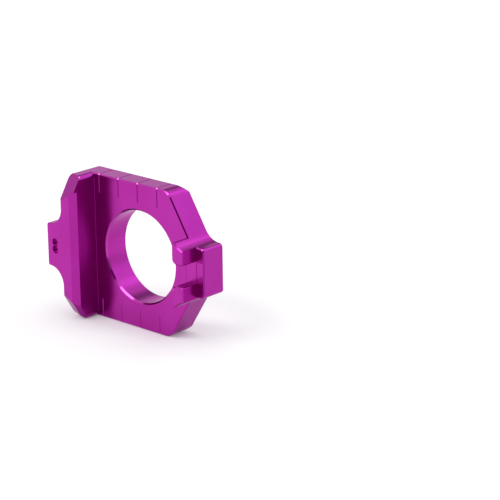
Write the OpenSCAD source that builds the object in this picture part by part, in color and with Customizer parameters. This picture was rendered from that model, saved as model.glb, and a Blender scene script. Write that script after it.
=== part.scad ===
// Motorcycle chain adjuster: the axle block for one side of a swingarm.
// One billet of aluminium, milled all over and anodised. The axle goes through
// the bore, and the flat-sided axle head seats between the wall and the two tabs.
// The block is drawn lying flat, with its plan in X and Y and its heights counted from
// the plate's outer face. It is then stood on a long edge, with its origin on the
// bore's axis and halfway through the plate.

/* [Bore] */
// Diameter of the axle bore
bore_d = 24; // [18:0.5:26]
// Edge break around both mouths of the bore
bore_break = 0.4; // [0.2:0.05:1]

/* [Plate] */
// Thickness of the plate around the bore
plate_t = 7.1; // [4:0.1:12]
// Width of the block across the swingarm slot
body_w = 38.2; // [37:0.1:42]
// Chamfer along the two long edges of the inner side
long_chamfer = 1.8; // [0.5:0.1:3]
// Small edge break on the outline
edge_break = 0.3; // [0.1:0.05:0.4]

/* [Wall end] */
// Bore centre to the end face behind the wall
wall_end = 26; // [26:0.1:34]
// Bore centre to the shoulders beside the wall's nose
wall_shoulder = 20.7; // [19:0.1:20.8]
// Width of the nose behind the wall
wall_nose_w = 11.4; // [8:0.1:16]
// Radius of the necks between shoulders and nose
wall_neck_r = 4.6; // [2:0.1:4.6]
// Radius of the shoulders' corners
shoulder_r = 1.7; // [0.8:0.1:2.5]

/* [Tab end] */
// Bore centre to the end face behind the tabs
tab_end = 21.9; // [21.9:0.1:30]
// Bore centre to the corner where a slope would meet the nose
slope_foot = 18; // [16:0.1:18]
// Angle of the slopes, from straight across the block
slope_angle = 32; // [32:1:36]
// Width of the nose behind the tabs
tab_nose_w = 12.8; // [11:0.1:14]
// Radius of the necks between slopes and nose
tab_neck_r = 5; // [3:0.1:5]
// Radius of the corners between long edges and slopes
slope_corner_r = 4; // [1:0.1:5]

/* [Axle head seat] */
// Width of the seat between the wall and the tabs
seat_w = 31.5; // [29:0.1:32]
// Height of the wall above the plate
wall_h = 7.5; // [6:0.1:12]
// Height of the tabs above the plate
tab_h = 4.9; // [2:0.1:8]
// Length of each tab along the block
tab_l = 3.7; // [3:0.1:4.5]
// Gap between the two tabs
tab_gap = 5.5; // [3:0.1:7]
// Centre line to the outer side of each tab
tab_reach = 8.25; // [7.5:0.05:9]
// Radius of the tabs' corners beside the gap
tab_corner_r = 1.4; // [0.5:0.1:1.6]
// Radius of the fillet at the foot of the wall, on its seat side
root_r = 0.2; // [0.2:0.1:1]

/* [Wall bevels] */
// Width of the bevel on the wall's seat edge, along the block
seat_bevel_w = 1.7; // [0.5:0.1:2.5]
// Depth of the bevel on the wall's seat edge
seat_bevel_d = 1.4; // [0.5:0.1:2.5]
// Length of the bevel on the wall's seat edge, across the block
seat_bevel_l = 30.4; // [20:0.2:32]
// Centre line to where an end bevel starts, on the shoulder
end_bevel_start = 12.5; // [9:0.1:15]
// Skew of an end bevel's edge across the wall's face
end_bevel_skew = 26; // [0:1:35]
// Steepness of an end bevel
end_bevel_angle = 35; // [20:1:40]

/* [Marks] */
// Number of index marks on each long edge
mark_count = 4; // [1:1:4]
// Distance from one index mark to the next
mark_pitch = 6.8; // [5:0.1:6.8]
// Bore centre to the index mark nearest the tabs
mark_first = 6.4; // [5:0.1:7]
// Length of an index mark on the plate's face
mark_l = 5; // [2:0.1:6]
// Width of an index mark
mark_w = 0.4; // [0.2:0.05:0.8]
// Diameter of the two blind dimples in the wall's face
dimple_d = 2.1; // [2:0.1:3]
// Distance between the centres of the two dimples
dimple_pitch = 1.9; // [1:0.1:2]
// Depth of the dimples
dimple_depth = 0.8; // [0.2:0.1:2]
// End face behind the wall to the dimples' centres
dimple_inset = 3; // [2:0.1:4.5]

/* [Hidden] */
$fn = 96;
// How far a cutter runs out past the face it cuts
run_out = 0.05;
// How much an arc outgrows its radius, so that it crosses the straight sides it joins
snug = 0.002;
// How far the web of a corner reaches past its sides, as a factor
web_reach = 1.2;
// Radius of the corners of the nose behind the wall
wall_nose_r = 0.6;
// Radius of the corners of the nose behind the tabs
tab_nose_r = 1;
// Radius of the wall's corners on its seat side
wall_corner_r = 1.3;
// Radius of the tabs' corners away from the gap
tab_edge_r = 0.5;
half_w = body_w / 2;
seat_x = seat_w / 2;
// How far the wall and the tabs are rooted below the plate's outer face
root = 2 * edge_break;
slope_start = slope_foot - (half_w - tab_nose_w / 2) * tan(slope_angle);

// Corners of the outline from the wall's nose to the tabs' nose, each with its radius
upper_wall = [
    [-wall_end, wall_nose_w / 2, wall_nose_r],
    [-wall_shoulder, wall_nose_w / 2, wall_neck_r],
    [-wall_shoulder, half_w, shoulder_r],
];
upper_slope = [
    [slope_start, half_w, slope_corner_r],
    [slope_foot, tab_nose_w / 2, tab_neck_r],
    [tab_end, tab_nose_w / 2, tab_nose_r],
];
neck_corner = len(upper_wall) + 1;

function mirrored(list) = [for (i = [len(list) - 1 : -1 : 0]) [list[i].x, -list[i].y, list[i].z]];
function both_halves(list) = concat(list, mirrored(list));

block_outline = both_halves(concat(upper_wall, upper_slope));
wall_outline = both_halves(concat(upper_wall, [[-seat_x, half_w, wall_corner_r]]));
tab_outline = [
    [seat_x, tab_gap / 2, tab_corner_r],
    [seat_x, tab_reach, tab_edge_r],
    [seat_x + tab_l, tab_reach, tab_edge_r],
    [seat_x + tab_l, tab_gap / 2, tab_edge_r],
];

function flat(p) = [p.x, p.y];
function unit(v) = v / norm(v);
function cyclic(list, i) = list[(i + len(list)) % len(list)];

// A rounded corner of a clockwise outline:
// [apex, start of the arc, end of the arc, centre, radius, whether the corner is convex]
function corner(list, i) =
    let (
        apex = flat(cyclic(list, i)),
        r = cyclic(list, i).z,
        back = unit(flat(cyclic(list, i - 1)) - apex),
        ahead = unit(flat(cyclic(list, i + 1)) - apex),
        half_angle = acos(back * ahead) / 2,
        reach = r / tan(half_angle)
    )
    [
        apex,
        apex + back * reach,
        apex + ahead * reach,
        apex + unit(back + ahead) * r / sin(half_angle),
        r,
        cross(back, ahead) > 0,
    ];

// How far a straight cutter runs on past the start of a corner's arc
function lap(c) = 1.5 * sqrt(2 * c[4] * snug);

// What lies between a sharp corner and its arc
module corner_web(c) {
    translate(c[3])
        difference() {
            polygon([for (p = [c[0], c[1], c[3], c[2]]) (p - c[3]) * web_reach]);
            circle(c[4] + snug);
        }
}

// A flat outline with its corners rounded
module rounded(list) {
    all = [for (i = [0 : len(list) - 1]) corner(list, i)];
    difference() {
        union() {
            polygon([for (p = list) flat(p)]);
            for (c = all) if (!c[5]) corner_web(c);
        }
        for (c = all) if (c[5]) corner_web(c);
    }
}

// Section of the cutter for an edge at the origin, with the body at negative X and Y
module break_section(size) {
    polygon([
        [-size - run_out, run_out],
        [run_out, run_out],
        [run_out, -size - run_out],
    ]);
}

// Cutter for the edge along the arc of corner c
module arc_break(c, size) {
    arm = (c[5] ? c[2] : c[1]) - c[3];
    sweep = 180 - 2 * acos(unit(c[1] - c[0]) * unit(c[3] - c[0]));
    translate([c[3].x, c[3].y, 0])
        rotate([0, 0, atan2(arm.y, arm.x)])
            rotate_extrude(angle = sweep)
                translate([c[4] + snug, 0])
                    mirror([c[5] ? 0 : 1, 0]) break_section(size);
}

// Cutter for the straight edge from corner c to the next corner
module run_break(c, next, size) {
    run = next[1] - c[2];
    translate([next[1].x, next[1].y, 0])
        rotate([0, 0, atan2(run.y, run.x)])
            translate([lap(next), 0, 0])
                rotate([90, 0, -90])
                    linear_extrude(lap(c) + norm(run) + lap(next))
                        mirror([1, 0]) break_section(size);
}

// Cutter that breaks the upper edge of a body all along its outline
module outline_break(list, size) {
    for (i = [0 : len(list) - 1]) {
        arc_break(corner(list, i), size);
        run_break(corner(list, i), corner(list, i + 1), size);
    }
}

// V groove along X, with its middle line on the surface
module groove(length) {
    side = mark_w / sqrt(2);
    rotate([45, 0, 0])
        translate([0, -side / 2, -side / 2])
            cube([length, side, side]);
}

// Each index mark crosses a long edge face and runs on over the plate's outer face
module index_marks() {
    for (side = [0, 1], i = [0 : mark_count - 1])
        mirror([0, side, 0])
            translate([mark_first - i * mark_pitch, half_w, 0]) {
                translate([0, run_out, 0]) rotate([0, 0, -90]) groove(mark_l + run_out);
                translate([0, 0, -plate_t]) rotate([0, -90, 0]) groove(plate_t + run_out);
            }
}

module long_chamfers() {
    for (side = [0, 1])
        mirror([0, side, 0])
            translate([-wall_end, half_w, -plate_t])
                rotate([90, 0, 90])
                    linear_extrude(wall_end + tab_end)
                        mirror([0, 1]) break_section(long_chamfer);
}

module bore() {
    cone_h = bore_break + run_out;
    translate([0, 0, -plate_t - run_out]) cylinder(d = bore_d, h = plate_t + 2 * run_out);
    for (mouth = [0, 1])
        translate([0, 0, mouth * -plate_t])
            mirror([0, 0, mouth])
                translate([0, 0, -bore_break])
                    cylinder(d1 = bore_d, d2 = bore_d + 2 * cone_h, h = cone_h);
}

// Plate with the bore and the index marks, and with its edges broken
module plate() {
    difference() {
        translate([0, 0, -plate_t]) linear_extrude(plate_t) rounded(block_outline);
        outline_break(block_outline, edge_break);
        translate([0, 0, -plate_t])
            mirror([0, 0, 1]) outline_break(block_outline, edge_break);
        long_chamfers();
        bore();
        index_marks();
    }
}

// Bevel along the middle of the wall's seat edge, stopped short of both end bevels
module seat_bevel() {
    translate([-seat_x, seat_bevel_l / 2, wall_h])
        rotate([90, 0, 0])
            linear_extrude(seat_bevel_l)
                polygon([[-seat_bevel_w, 0], [0, 0], [0, -seat_bevel_d]]);
}

// Sloping cut that takes the wall down towards a shoulder
module end_bevel() {
    translate([-wall_shoulder, end_bevel_start, wall_h])
        rotate([0, 0, end_bevel_skew])
            rotate([-end_bevel_angle, 0, 0])
                translate([-body_w / 2, 0, 0]) cube(body_w);
}

module dimples() {
    for (side = [-1, 1])
        translate([dimple_inset - wall_end, side * dimple_pitch / 2, wall_h - dimple_depth])
            cylinder(d = dimple_d, h = dimple_depth + run_out);
}

// Fillet along the foot of the wall, up to the wall's round corners
module root_fillet() {
    run = half_w - wall_corner_r;
    translate([-seat_x, run, 0])
        rotate([90, 0, 0])
            linear_extrude(2 * run)
                difference() {
                    translate([-run_out, -run_out]) square(root_r + run_out);
                    translate([root_r, root_r]) circle(root_r + snug);
                }
}

module wall() {
    difference() {
        translate([0, 0, -root]) linear_extrude(root + wall_h) rounded(wall_outline);
        translate([0, 0, wall_h]) outline_break(wall_outline, edge_break);
        seat_bevel();
        for (side = [0, 1]) mirror([0, side, 0]) end_bevel();
        dimples();
    }
}

// Tab beside the gap: its outer side follows the outline's neck
module tab() {
    neck = corner(block_outline, neck_corner);
    difference() {
        translate([0, 0, -root])
            linear_extrude(root + tab_h)
                intersection() {
                    rounded(block_outline);
                    rounded(tab_outline);
                }
        translate([0, 0, tab_h]) {
            outline_break(tab_outline, edge_break);
            arc_break(neck, edge_break);
        }
    }
}

module axle_block() {
    color([0.7, 0.19, 0.62])
        rotate([90, 0, 0])
            translate([0, 0, plate_t / 2]) {
                plate();
                wall();
                root_fillet();
                for (side = [0, 1]) mirror([0, side, 0]) tab();
            }
}

axle_block();
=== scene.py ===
import math

import bmesh
import bpy
from mathutils import Matrix, Vector


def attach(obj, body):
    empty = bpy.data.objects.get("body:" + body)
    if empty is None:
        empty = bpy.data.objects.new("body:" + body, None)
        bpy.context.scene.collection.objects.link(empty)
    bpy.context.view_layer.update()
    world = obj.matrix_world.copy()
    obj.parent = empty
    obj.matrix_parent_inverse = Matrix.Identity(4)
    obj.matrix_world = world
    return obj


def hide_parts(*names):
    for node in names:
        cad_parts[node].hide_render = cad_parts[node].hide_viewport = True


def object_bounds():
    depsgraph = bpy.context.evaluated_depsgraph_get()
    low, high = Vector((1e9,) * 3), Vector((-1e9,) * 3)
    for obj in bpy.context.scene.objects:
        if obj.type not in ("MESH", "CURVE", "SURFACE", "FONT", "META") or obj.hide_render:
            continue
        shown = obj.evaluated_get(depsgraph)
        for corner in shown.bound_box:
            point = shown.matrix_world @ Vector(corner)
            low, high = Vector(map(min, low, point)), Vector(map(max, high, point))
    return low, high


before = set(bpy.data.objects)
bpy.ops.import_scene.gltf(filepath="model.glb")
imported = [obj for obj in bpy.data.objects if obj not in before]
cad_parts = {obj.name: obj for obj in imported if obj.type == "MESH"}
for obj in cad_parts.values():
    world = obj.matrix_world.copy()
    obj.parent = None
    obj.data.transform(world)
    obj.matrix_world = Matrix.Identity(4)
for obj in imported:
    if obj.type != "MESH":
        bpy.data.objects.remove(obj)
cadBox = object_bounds()
mm = 0.001
# X runs along the block, Y through the plate and Z up, from the middle of the bore
plateThickness = 7.1 * mm
outerFace = -0.5 * plateThickness
seatHalf = 15.75 * mm            # bore centre to the wall's seat face
endFace = 21.8 * mm              # the end face behind the tabs lies just past this
skin = 0.05 * mm                 # what lies this close to a face belongs to it


# shader maths: a Wire holds one socket, and a sum on it adds a Math node
class Wire:
    def __init__(self, tree, socket):
        self.tree = tree
        self.socket = socket

    def maths(self, operation, *terms):
        node = self.tree.nodes.new("ShaderNodeMath")
        node.operation = operation
        for slot, term in zip(node.inputs, terms):
            plug(self.tree, slot, term)
        return Wire(self.tree, node.outputs[0])

    def above(self, level):
        return self.maths("GREATER_THAN", self, level)

    def below(self, level):
        return self.maths("LESS_THAN", self, level)

    def near(self, middle, reach):
        return self.maths("COMPARE", self, middle, reach)

    def __add__(self, other):
        return self.maths("ADD", self, other)

    def __sub__(self, other):
        return self.maths("SUBTRACT", self, other)

    def __rsub__(self, other):
        return self.maths("SUBTRACT", other, self)

    def __mul__(self, other):
        return self.maths("MULTIPLY", self, other)

    __radd__ = __add__
    __rmul__ = __mul__


def plug(tree, slot, value):
    if isinstance(value, Wire):
        tree.links.new(value.socket, slot)
    elif slot.type == "RGBA" and len(value) == 3:
        slot.default_value = (*value, 1.0)
    else:
        slot.default_value = value


# a node tree that is filled through one method: settings first, then sockets
class Nodes:
    def __init__(self, owner):
        owner.use_nodes = True
        self.tree = owner.node_tree
        self.tree.nodes.clear()

    def add(self, kind, settings=None, sockets=None, output=0):
        node = self.tree.nodes.new("ShaderNode" + kind)
        for key, value in (settings or {}).items():
            if key == "stops":
                for element, (place, level) in zip(node.color_ramp.elements, value):
                    element.position = place
                    element.color = (level, level, level, 1.0)
            else:
                setattr(node, key, value)
        for key, value in (sockets or {}).items():
            plug(self.tree, node.inputs[key], value)
        return Wire(self.tree, node.outputs[output]) if node.outputs else node

    # of the Mix node's sockets, 6 and 7 take colours and output 2 gives one
    def blend(self, share, first, second):
        return self.add("Mix", {"data_type": "RGBA"}, {0: share, 6: first, 7: second}, output=2)

    # goes gently from one level to another while the value goes from start to end
    def ease(self, value, start, end, first, last):
        return self.add("MapRange", {"interpolation_type": "SMOOTHSTEP"},
                        {"Value": value, "From Min": start, "From Max": end, "To Min": first, "To Max": last})

    def noise(self, place, size, detail, roughness):
        return self.add("TexNoise", sockets={"Vector": place, "Scale": 1 / size, "Detail": detail,
                                             "Roughness": roughness})

    def attribute(self, name):
        return self.add("Attribute", {"attribute_name": name}, output="Fac")


def toLinear(*levels):
    return tuple((v / 255 / 12.92) if v <= 10 else ((v / 255 + 0.055) / 1.055) ** 2.4 for v in levels)


# purple anodising over milled and tumbled billet
anodising = {
    "purple": toLinear(180, 50, 164),
    "deepPurple": toLinear(174, 44, 156),
    "paintedSeatShadePurple": toLinear(152, 16, 132),    # painted shade in the corner below the wall and on the strip behind the tabs
    "paintedShadePurple": toLinear(124, 14, 108),  # painted shade, mixed in by each face's tone: index mark grooves, the wall's root and bevels, the end face, dark breaks and undersides
    "wornHighlightPurple": toLinear(232, 160, 220),   # where tumbling has thinned the dye on edges and burrs, and painted highlight that makes their glints paler
    "edgeWearAndHighlight": 0.06,            # how much of it the edge breaks show
    "grazingTint": (0.95, 0.84, 0.95),       # keeps low angles purple
    "seatFade": (-12.0 * mm, -9.0 * mm),     # along the block, where the painted shade below the wall ends
    "tabStrip": (19.42 * mm, 21.55 * mm),    # along the block, the strip behind the tabs that takes painted shade
    "tabMiddle": 5.5 * mm,       # height of the upper tab's middle, and half its height
    "tabHalf": 2.8 * mm,
    "stepLines": (15.95 * mm, 19.50 * mm),   # where two cutter passes met, in the gap between the tabs
    "stepLineTone": (0.35, 0.85),
    "stepLineHalf": 0.14 * mm,
    "stepLineReach": 2.7 * mm,
    "roughness": 0.26,
    "roughnessSpread": 0.06,
    "sideRoughness": 0.16,       # added on the wall's side-milled seat face
    "tumbledRoughness": -0.14,   # added on the edge breaks, which tumbling has polished
    "drift": (14 * mm, 3.0, 0.45),           # noise of the dye: size, detail, roughness
    "driftStops": (0.35, 0.65),
    "grain": (0.11 * mm, 2.0, 0.6),          # tumbled grain
    "grainDepth": 0.0020 * mm,
    "feed": (0.16 * mm, 2.0, 0.5),           # feed lines that run up the block
    "feedStretch": (1.0, 1.0, 0.03),
    "feedDepth": 0.0020 * mm,
}


# painted shade on the strip of plate between each tab and the end face, with the side of the tab
def behindTabs(along, through, height):
    look = anodising
    stripStart, stripEnd = look["tabStrip"]
    atTab = height.near(look["tabMiddle"], look["tabHalf"]) + height.near(-look["tabMiddle"], look["tabHalf"])
    return along.above(stripStart) * along.below(stripEnd) * through.below(outerFace + skin) * atTab


# painted shade in the corner below the wall, fading out along the plate
def belowWall(nodes, along, through):
    fadeStart, fadeEnd = anodising["seatFade"]
    fade = nodes.ease(along, fadeStart, fadeEnd, 1.0, 0.0)
    return fade * along.above(-seatHalf - skin) * through.below(outerFace + skin)


def stepLines(along, through, height):
    look = anodising
    lines = 0.0
    for step, tone in zip(look["stepLines"], look["stepLineTone"]):
        lines = lines + along.near(step, look["stepLineHalf"]) * tone
    return lines * height.near(0.0, look["stepLineReach"]) * through.near(outerFace, skin)


def anodisedPurple():
    look = anodising
    material = bpy.data.materials.new("anodisedPurple")
    nodes = Nodes(material)
    place = nodes.add("TexCoord", output="Object")
    along = nodes.add("SeparateXYZ", sockets={"Vector": place}, output="X")
    through = nodes.add("SeparateXYZ", sockets={"Vector": place}, output="Y")
    height = nodes.add("SeparateXYZ", sockets={"Vector": place}, output="Z")
    tumbled = nodes.attribute("tumbled")

    drift = nodes.noise(place, *look["drift"])
    low, high = look["driftStops"]
    patches = nodes.add("ValToRGB", {"stops": ((low, 0.0), (high, 1.0))}, {"Fac": drift})
    colour = nodes.blend(patches, look["deepPurple"], look["purple"])
    # painted shade in the corner below the wall and behind the tabs
    paintedSeatShade = belowWall(nodes, along, through) + behindTabs(along, through, height)
    colour = nodes.blend(paintedSeatShade, colour, look["paintedSeatShadePurple"])
    # painted shade from each face's tone, with the lines where cutter passes met
    dark = nodes.attribute("paintedShade") + stepLines(along, through, height)
    colour = nodes.blend(dark, colour, look["paintedShadePurple"])
    # thinned dye and painted highlight on the edge breaks and burrs
    wearAndHighlight = tumbled * look["edgeWearAndHighlight"] + nodes.attribute("wornAndHighlight")
    colour = nodes.blend(wearAndHighlight, colour, look["wornHighlightPurple"])

    grain = nodes.noise(place, *look["grain"])
    upTheBlock = nodes.add("Mapping", sockets={"Vector": place, "Scale": look["feedStretch"]})
    feedLines = nodes.noise(upTheBlock, *look["feed"])
    relief = grain * look["grainDepth"] + feedLines * look["feedDepth"]
    bump = nodes.add("Bump", sockets={"Height": relief, "Strength": 1.0, "Distance": 1.0})

    unevenness = feedLines * 0.5 + drift * 0.5 - 0.5
    roughness = (look["roughness"] + unevenness * look["roughnessSpread"]
                 + nodes.attribute("sideMilled") * look["sideRoughness"] + tumbled * look["tumbledRoughness"])
    shader = nodes.add("BsdfPrincipled", sockets={
        "Base Color": colour,
        "Metallic": 1.0,
        "Specular Tint": look["grazingTint"],
        "Roughness": roughness,
        "Normal": bump,
    })
    nodes.add("OutputMaterial", sockets={"Surface": shader})
    return material


# the block: the CAD solid with its last sharp outer edges broken
blockEdges = {
    "weld": 0.012 * mm,          # vertices closer than this are one
    "flatAngle": 0.8,            # degrees; faces that meet flatter than this are one face
    "crispAngle": 26.0,          # degrees; outer edges sharper than this get a break
    "modelledTurn": (43.0, 47.5),  # degrees; the turn at either side of a break that is modelled
    "breakWidth": 0.14 * mm,
    "freshWidth": 0.42 * mm,     # a face that the break makes is narrower than this
    "modelledWidth": 0.6 * mm,   # and so are modelled breaks than this
    "smoothAngle": 40.0,         # degrees; arcs shade round, breaks and inner corners stay crisp
}
# the index marks, as they are cut: places along the block, reach over the outer face, width
indexMarks = {
    "first": 6.4 * mm,
    "pitch": 6.8 * mm,
    "count": 4,
    "length": 5.05 * mm,
    "halfWidth": 0.21 * mm,
    "depth": 0.3 * mm,           # more than a mark's depth in the outer face
}
# how to tell a face: places, and parts of its unit normal
faceSigns = {
    "boreReach": 13 * mm,        # the bore and its breaks lie within this of its axis
    "rootReach": 0.25 * mm,      # size of the fillet at the foot of the wall
    "seatReach": 0.1 * mm,
    "wallStart": 2 * mm,         # above the plate, where only the wall and the tabs are left
    "square": 0.99,              # straight along an axis
    "nearlySquare": 0.95,
    "breakSpread": 0.02,         # how far a break may be off 45 degrees
    "slopeBreak": (0.54, 0.62),  # along the block, at the upper slope
    "leaning": 0.1,
    "aside": 0.2,
    "slanted": 0.5,              # about halfway between two axes
    "wallBevel": (-0.9, -0.6),   # through the plate, on a bevel of the wall
    "endBevel": 0.4,             # up or down, on its end bevels
}
# how much painted shade each place takes: 0 leaves the common colour, 1 gives the darkest, as in a scribed
# mark
paintedShadeTones = {
    "markOnTop": 1.0,            # painted shade in the index mark grooves: on the long edge
    "markOnFace": 0.75,          # on the outer face
    "markBelow": 0.35,           # and there below the bore
    "root": 1.0,                 # painted shade in the fillet at the foot of the wall
    "footBevel": 0.65,           # painted shade on the bevels at the wall's lower end, which look down
    "bevel": 0.22,               # lighter painted shade on the wall's other bevels
    # the end face takes painted shade
    "endFace": 0.22,
    "slopeBreak": 1.0,           # painted shade, a dark line along the upper slope's edge break
    "lowBreak": 0.2,             # painted shade on the edge breaks that look down
    "endBreak": 0.6,             # painted shade on the upright breaks of the end face
    "lowSide": 0.6,              # painted shade on an outer side that looks straight down, and less where it leans
}


def needsBreak(edge):
    if len(edge.link_faces) != 2 or not edge.is_convex:
        return False
    turn = math.degrees(edge.calc_face_angle(0.0))
    low, high = blockEdges["modelledTurn"]
    onMark = any(inMark(face) for face in edge.link_faces)
    return turn > blockEdges["crispAngle"] and not low < turn < high and not onMark


def inMark(face):
    middle = face.calc_center_median()
    half = indexMarks["halfWidth"]
    places = [indexMarks["first"] - step * indexMarks["pitch"] for step in range(indexMarks["count"])]
    near = any(abs(middle.x - place) < half for place in places)
    small = all(abs(v.co.x - middle.x) < 2 * half for v in face.verts)
    return near and small and abs(middle.z) > cadBox[1].z - indexMarks["length"]


def isNarrow(face, width):
    return face.calc_area() < width * max(edge.calc_length() for edge in face.edges)


# a modelled edge break is narrow and lies at 45 degrees to the plate
def isBreak(face):
    lean = abs(abs(face.normal.y) - math.sqrt(0.5))
    return isNarrow(face, blockEdges["modelledWidth"]) and lean < faceSigns["breakSpread"]


# the outer edge break of the upper slope
def isSlopeBreak(face):
    facing = face.normal
    low, high = faceSigns["slopeBreak"]
    return isBreak(face) and facing.y < 0 < facing.z and low < facing.x < high


# the outer edge breaks that look down, at the lower slope and its neck
def isLowBreak(face):
    facing = face.normal
    looksDown = facing.y < 0 and facing.z < -faceSigns["aside"]
    return isBreak(face) and looksDown and face.calc_center_median().x > 0


# the upright breaks of the end face
def isEndBreak(face):
    facing = face.normal
    slant = faceSigns["slanted"]
    slanted = facing.x > slant and facing.y < -slant and abs(facing.z) < faceSigns["aside"]
    return slanted and face.calc_center_median().x > endFace - mm


# the fillet at the foot of the wall
def inRoot(face):
    middle = face.calc_center_median()
    facing = face.normal
    reach = faceSigns["rootReach"]
    lean = faceSigns["leaning"]
    leaning = facing.x > lean and facing.y < -lean and abs(facing.z) < lean
    return leaning and abs(middle.x + seatHalf) < reach and abs(middle.y - outerFace) < reach


# a bevel of the wall, along its seat edge or at an end
def isWallBevel(face):
    onWall = face.calc_center_median().y < outerFace - faceSigns["wallStart"]
    facing = face.normal
    low, high = faceSigns["wallBevel"]
    sideways = facing.x > faceSigns["slanted"] or abs(facing.z) > faceSigns["endBevel"]
    return onWall and low < facing.y < high and sideways


# painted shade: an outer side is darker the more it looks down
def undersideShade(face):
    centre = face.calc_center_median()
    inBore = math.hypot(centre.x, centre.z) < faceSigns["boreReach"]
    if inBore or abs(face.normal.y) > faceSigns["aside"]:
        return 0.0
    return paintedShadeTones["lowSide"] * max(0.0, -face.normal.z)


# how much painted shade a face takes
def paintedShadeOf(face, isFresh):
    middle = face.calc_center_median()
    # painted shade in the index mark grooves, lighter on the outer face and below the bore
    if inMark(face):
        onFace = middle.y < outerFace + indexMarks["depth"]
        return paintedShadeTones["markOnTop" if not onFace else "markOnFace" if middle.z > 0 else "markBelow"]
    # painted shade in the crease at the foot of the wall
    if inRoot(face):
        return paintedShadeTones["root"]
    # painted shade on the wall's bevels, darker on those that look down
    if isWallBevel(face) and not isFresh:
        return paintedShadeTones["footBevel" if face.normal.z < -faceSigns["endBevel"] else "bevel"]
    # painted shade on the end face
    if face.normal.x > faceSigns["square"] and middle.x > endFace and not isFresh:
        return paintedShadeTones["endFace"]
    # painted shade, a dark line along the upper slope's edge break
    if isSlopeBreak(face):
        return paintedShadeTones["slopeBreak"]
    # painted shade on the edge breaks that look down
    if isLowBreak(face):
        return paintedShadeTones["lowBreak"]
    # painted shade on the upright breaks of the end face
    if isEndBreak(face):
        return paintedShadeTones["endBreak"]
    return undersideShade(face)


# the wall's lower end: a flat runs on from the seat bevel, and it and the end bevel turn round
# into the long edge below them
wallFoot = {
    "reach": -14.0 * mm,         # only faces that lie beyond this, along the block, are cut
    "below": (0.0, 0.0, -1.0),
    "steps": 4,
    "flat": {"facing": (0.36, -0.81, -0.47), "start": (-15.75 * mm, -9.65 * mm, -15.2 * mm),
             "corner": (-15.75 * mm, -7.39 * mm, -19.1 * mm), "radius": 1.6 * mm},
    "endBevel": {"facing": (-0.2515, -0.819, -0.5156), "start": (-15.75 * mm, -10.75 * mm, -15.391 * mm),
                 "corner": (-15.75 * mm, -8.415 * mm, -19.1 * mm), "radius": 3.0 * mm},
}


def cutWallFoot(made, place, facing):
    ending = [face for face in made.faces if all(v.co.x < wallFoot["reach"] for v in face.verts)]
    edges = list(dict.fromkeys(edge for face in ending for edge in face.edges))
    verts = list(dict.fromkeys(vert for face in ending for vert in face.verts))
    cut = bmesh.ops.bisect_plane(made, geom=verts + edges + ending, plane_co=place, plane_no=facing,
                                 clear_outer=True)
    rim = [part for part in cut["geom_cut"] if isinstance(part, bmesh.types.BMEdge)]
    bmesh.ops.holes_fill(made, edges=rim, sides=0)


def roundWallFoot(made):
    below = Vector(wallFoot["below"])
    steps = wallFoot["steps"]
    for bevel in (wallFoot["flat"], wallFoot["endBevel"]):
        slope = Vector(bevel["facing"]).normalized()
        radius = bevel["radius"]
        axis = Vector(bevel["corner"]) - (slope + below) * radius / (1 + slope.dot(below))
        cutWallFoot(made, Vector(bevel["start"]), slope)
        for step in range(steps):
            facing = slope.slerp(below, (step + 0.5) / steps)
            cutWallFoot(made, axis + facing * radius, facing)


# the CAD mesh is loose triangles: here they are merged, and flat faces made whole
def wholeSolid(source):
    made = bmesh.new()
    made.from_mesh(source.data)
    bmesh.ops.remove_doubles(made, verts=made.verts, dist=blockEdges["weld"])
    bmesh.ops.dissolve_degenerate(made, edges=made.edges, dist=blockEdges["weld"])
    bmesh.ops.dissolve_limit(made, angle_limit=math.radians(blockEdges["flatAngle"]),
                             verts=made.verts, edges=made.edges, delimit={"NORMAL"})
    return made


def breakEdges(made):
    crisp = [edge for edge in made.edges if needsBreak(edge)]
    rounds = bmesh.ops.bevel(made, geom=crisp, offset=blockEdges["breakWidth"], segments=1,
                             profile=0.5, affect="EDGES", clamp_overlap=True)["faces"]
    made.normal_update()
    print("block:", len(crisp), "edges given a break")
    return rounds


# each face says how it is finished and how much painted shade it takes, and the material reads that
def finishFaces(made, rounds):
    paintedShade = made.faces.layers.float.new("paintedShade")
    tumbled = made.faces.layers.float.new("tumbled")
    sideMilled = made.faces.layers.float.new("sideMilled")
    fresh = set(rounds)
    for face in made.faces:
        face.smooth = True
        atSeat = abs(face.calc_center_median().x + seatHalf) < faceSigns["seatReach"]
        tone = paintedShadeOf(face, face in fresh)
        if tone > 0:
            face[paintedShade] = tone
        elif isBreak(face) or face in fresh and isNarrow(face, blockEdges["freshWidth"]):
            face[tumbled] = 1.0
        elif atSeat and face.normal.x > faceSigns["nearlySquare"]:
            face[sideMilled] = 1.0


def machinedBlock(source):
    made = wholeSolid(source)
    roundWallFoot(made)
    rounds = breakEdges(made)
    finishFaces(made, rounds)
    for edge in made.edges:
        if len(edge.link_faces) == 2:
            edge.smooth = math.degrees(edge.calc_face_angle(0.0)) < blockEdges["smoothAngle"]
    mesh = bpy.data.meshes.new("billetBlock")
    made.to_mesh(mesh)
    made.free()
    block = bpy.data.objects.new("billetBlock", mesh)
    bpy.context.scene.collection.objects.link(block)
    keepFlat = block.modifiers.new("keepFlatsFlat", "WEIGHTED_NORMAL")
    keepFlat.weight = 80
    keepFlat.keep_sharp = True
    mesh.materials.append(anodisedPurple())
    print("block:", len(mesh.polygons), "faces")
    return block


block = machinedBlock(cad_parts["axle_block"])
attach(block, "root")
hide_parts("axle_block")


# small burrs that stand where the index marks cross the edge break, and catch the light
scribeLips = {
    "size": (0.40 * mm, 0.32 * mm, 0.16 * mm),
    "facing": (0.25, -0.72, 0.64),
    "wornAndHighlight": 0.30,                # how far the dye is thinned on them, with painted highlight that pales their glint
    "through": -3.385 * mm,
    "inset": 0.165 * mm,         # below the long edge
    "wallCorner": (-16.1 * mm, -8.3 * mm, 18.75 * mm),   # and one where the wall's upper corner ends
}


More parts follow.
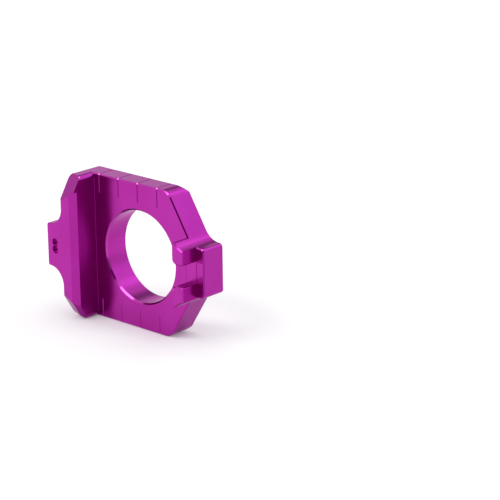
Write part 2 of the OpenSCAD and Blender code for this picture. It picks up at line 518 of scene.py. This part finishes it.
# bars set in a row: a mesh line with a bar at each point
def lipTree():
    tree = bpy.data.node_groups.new("scribeLips", "GeometryNodeTree")
    for name, kind in (("Count", "Int"), ("Start", "Vector"), ("Step", "Vector"), ("Size", "Vector"),
                       ("Turn", "Vector"), ("Material", "Material")):
        tree.interface.new_socket(name, in_out="INPUT", socket_type="NodeSocket" + kind)
    tree.interface.new_socket("Geometry", in_out="OUTPUT", socket_type="NodeSocketGeometry")
    given = tree.nodes.new("NodeGroupInput")
    row = tree.nodes.new("GeometryNodeMeshLine")
    bar = tree.nodes.new("GeometryNodeMeshCube")
    turn = tree.nodes.new("FunctionNodeEulerToRotation")
    bars = tree.nodes.new("GeometryNodeInstanceOnPoints")
    real = tree.nodes.new("GeometryNodeRealizeInstances")
    # thinned dye and painted highlight on the burrs
    wearAndHighlightStore = tree.nodes.new("GeometryNodeStoreNamedAttribute")
    wearAndHighlightStore.data_type = "FLOAT"
    wearAndHighlightStore.domain = "FACE"
    wearAndHighlightStore.inputs["Name"].default_value = "wornAndHighlight"
    wearAndHighlightStore.inputs["Value"].default_value = scribeLips["wornAndHighlight"]
    dress = tree.nodes.new("GeometryNodeSetMaterial")
    made = tree.nodes.new("NodeGroupOutput")
    links = (
        (given, "Count", row, "Count"),
        (given, "Start", row, "Start Location"),
        (given, "Step", row, "Offset"),
        (given, "Size", bar, "Size"),
        (given, "Turn", turn, "Euler"),
        (row, "Mesh", bars, "Points"),
        (bar, "Mesh", bars, "Instance"),
        (turn, "Rotation", bars, "Rotation"),
        (bars, "Instances", real, "Geometry"),
        (real, "Geometry", wearAndHighlightStore, "Geometry"),
        (wearAndHighlightStore, "Geometry", dress, "Geometry"),
        (given, "Material", dress, "Material"),
        (dress, "Geometry", made, "Geometry"),
    )
    for source, output, target, slot in links:
        tree.links.new(source.outputs[output], target.inputs[slot])
    return tree


# a row runs back along the block, from its start; down is -1 where the lips look down
def rowOfLips(name, tree, start, count, down=1):
    look = scribeLips
    along, through, height = look["facing"]
    values = {
        "Count": count,
        "Start": start,
        "Step": (-indexMarks["pitch"], 0.0, 0.0),
        "Size": look["size"],
        "Turn": tuple(Vector((along, through, down * height)).to_track_quat("Z", "X").to_euler()),
        "Material": bpy.data.materials["anodisedPurple"],
    }
    holder = bpy.data.objects.new(name, bpy.data.meshes.new(name))
    bpy.context.scene.collection.objects.link(holder)
    grow = holder.modifiers.new("grow", "NODES")
    grow.node_group = tree
    for item in tree.interface.items_tree:
        if item.in_out == "INPUT":
            grow[item.identifier] = values[item.name]
    evaluated = holder.evaluated_get(bpy.context.evaluated_depsgraph_get())
    mesh = bpy.data.meshes.new_from_object(evaluated)
    holder.modifiers.remove(grow)
    holder.data = mesh
    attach(holder, "root")
    print(name + ":", len(mesh.polygons), "faces")


lips = lipTree()
longEdge = cadBox[1].z - scribeLips["inset"]
firstLip = (indexMarks["first"], scribeLips["through"])
rowOfLips("upperLips", lips, (*firstLip, longEdge), indexMarks["count"])
rowOfLips("lowerLips", lips, (*firstLip, -longEdge), indexMarks["count"], -1)
rowOfLips("wallLip", lips, scribeLips["wallCorner"], 1)


# a pale floor that runs on as the backdrop, under a soft sky
studio = {
    "floorColour": (0.90, 0.90, 0.90),
    "floorHalf": 3.0,
    "floorLift": 0.13,           # what camera and metal see on the floor beyond its own light
    "skyRim": 0.90,              # brightness at the horizon
    "skyLow": 0.86,              # just above it
    "skyHigh": 1.00,             # from halfway up
    "skyTop": 0.10,              # added right above
    "skyLean": 0.06,             # how much brighter the light is in front than behind
    "rimHeights": (0.10, 0.28),  # heights of these changes, as parts of a unit direction
    "highHeights": (0.30, 0.60),
    "topHeights": (0.80, 1.0),
}
# darker parts of the sky: the open side of the room, and a dark card behind the block
# the reach holds cosines, where the dark starts and where it is full
darkParts = {
    "openSide": {"direction": (0.64, -0.70, 0.36), "reach": (0.86, 0.98), "level": 0.38},
    "card": {"direction": (-0.45, 0.67, 0.59), "reach": (0.972, 0.993), "level": 0.20},
}
# lamps: place, size and radiance, each turned to the block
lamps = {
    "backSoftbox": {"place": (0.22, 0.36, 0.22), "size": (0.36, 0.20), "radiance": 0.32,
                    "colour": (0.88, 0.95, 1.30)},
    "topSoftbox": {"place": (0.10, 0.36, 0.36), "size": (0.15, 0.13), "radiance": 0.85,
                   "colour": (0.95, 1.0, 1.20)},
    "keySoftbox": {"place": (-0.07, -0.30, 0.39), "size": (0.28, 0.08), "radiance": 5.5,
                   "colour": (1.0, 1.0, 1.0)},
}
white = (1.0, 1.0, 1.0)


def studioFloor():
    half = studio["floorHalf"]
    mesh = bpy.data.meshes.new("studioFloor")
    level = cadBox[0].z
    corners = [(-half, -half, level), (half, -half, level), (half, half, level), (-half, half, level)]
    mesh.from_pydata(corners, [], [(0, 1, 2, 3)])
    floor = bpy.data.objects.new("studioFloor", mesh)
    bpy.context.scene.collection.objects.link(floor)
    paper = bpy.data.materials.new("studioPaper")
    nodes = Nodes(paper)
    matt = nodes.add("BsdfDiffuse", sockets={"Color": studio["floorColour"]})
    seen = nodes.add("LightPath", output="Is Camera Ray")
    mirrored = nodes.add("LightPath", output="Is Glossy Ray")
    through = nodes.add("LightPath", output="Is Transmission Ray")
    glow = (seen + mirrored + through) * studio["floorLift"]
    lift = nodes.add("Emission", sockets={"Color": white, "Strength": glow})
    nodes.add("OutputMaterial", sockets={"Surface": nodes.add("AddShader", sockets={0: matt, 1: lift})})
    mesh.materials.append(paper)


def studioSky():
    world = bpy.data.worlds.new("studioSky")
    bpy.context.scene.world = world
    nodes = Nodes(world)
    direction = nodes.add("TexCoord", output="Generated")
    across = nodes.add("SeparateXYZ", sockets={"Vector": direction}, output="Y")
    height = nodes.add("SeparateXYZ", sockets={"Vector": direction}, output="Z")
    rim, low = studio["rimHeights"]
    stops = ((rim, studio["skyRim"]), (low, studio["skyLow"]))
    horizon = nodes.add("ValToRGB", {"stops": stops}, {"Fac": height})
    rise = nodes.ease(height, *studio["highHeights"], 0.0, studio["skyHigh"] - studio["skyLow"])
    top = nodes.ease(height, *studio["topHeights"], 0.0, studio["skyTop"])
    strength = horizon + rise + top
    for dark in darkParts.values():
        middle = Vector(dark["direction"]).normalized()
        toMiddle = nodes.add("VectorMath", {"operation": "DOT_PRODUCT"}, {0: direction, 1: middle},
                             output="Value")
        strength = strength * nodes.ease(toMiddle, *dark["reach"], 1.0, dark["level"])
    strength = strength * (1 - across * studio["skyLean"])
    sky = nodes.add("Background", sockets={"Color": white, "Strength": strength})
    nodes.add("OutputWorld", sockets={"Surface": sky})


def softbox(name):
    look = lamps[name]
    light = bpy.data.lights.new(name, "AREA")
    light.shape = "RECTANGLE"
    light.size, light.size_y = look["size"]
    light.color = look["colour"]
    light.energy = look["radiance"] * math.pi * light.size * light.size_y
    lamp = bpy.data.objects.new(name, light)
    bpy.context.scene.collection.objects.link(lamp)
    lamp.location = look["place"]
    lamp.rotation_euler = (-Vector(look["place"])).to_track_quat("-Z", "Y").to_euler()


# the camera stands where the photograph was taken from
cameraView = {
    "place": (0.33937, -0.33693, 0.15425),
    "bearing": 42.196,           # degrees, turned from looking straight along +Y
    "droop": 17.822,             # degrees below level
    "roll": -0.582,              # degrees
    "lens": 143.78,
    "sensor": 36.0,
    "clip": (0.01, 20.0),
}


def photoCamera():
    data = bpy.data.cameras.new("photoCamera")
    data.lens = cameraView["lens"]
    data.sensor_width = cameraView["sensor"]
    data.clip_start, data.clip_end = cameraView["clip"]
    camera = bpy.data.objects.new("photoCamera", data)
    bpy.context.scene.collection.objects.link(camera)
    turn = (Matrix.Rotation(math.radians(cameraView["bearing"]), 4, "Z")
            @ Matrix.Rotation(math.radians(90 - cameraView["droop"]), 4, "X")
            @ Matrix.Rotation(math.radians(cameraView["roll"]), 4, "Z"))
    camera.matrix_world = Matrix.Translation(cameraView["place"]) @ turn
    bpy.context.scene.camera = camera


studioFloor()
studioSky()
for lampName in lamps:
    softbox(lampName)
photoCamera()
bpy.context.scene.view_settings.view_transform = "Standard"
print("studio, light and camera are in place")
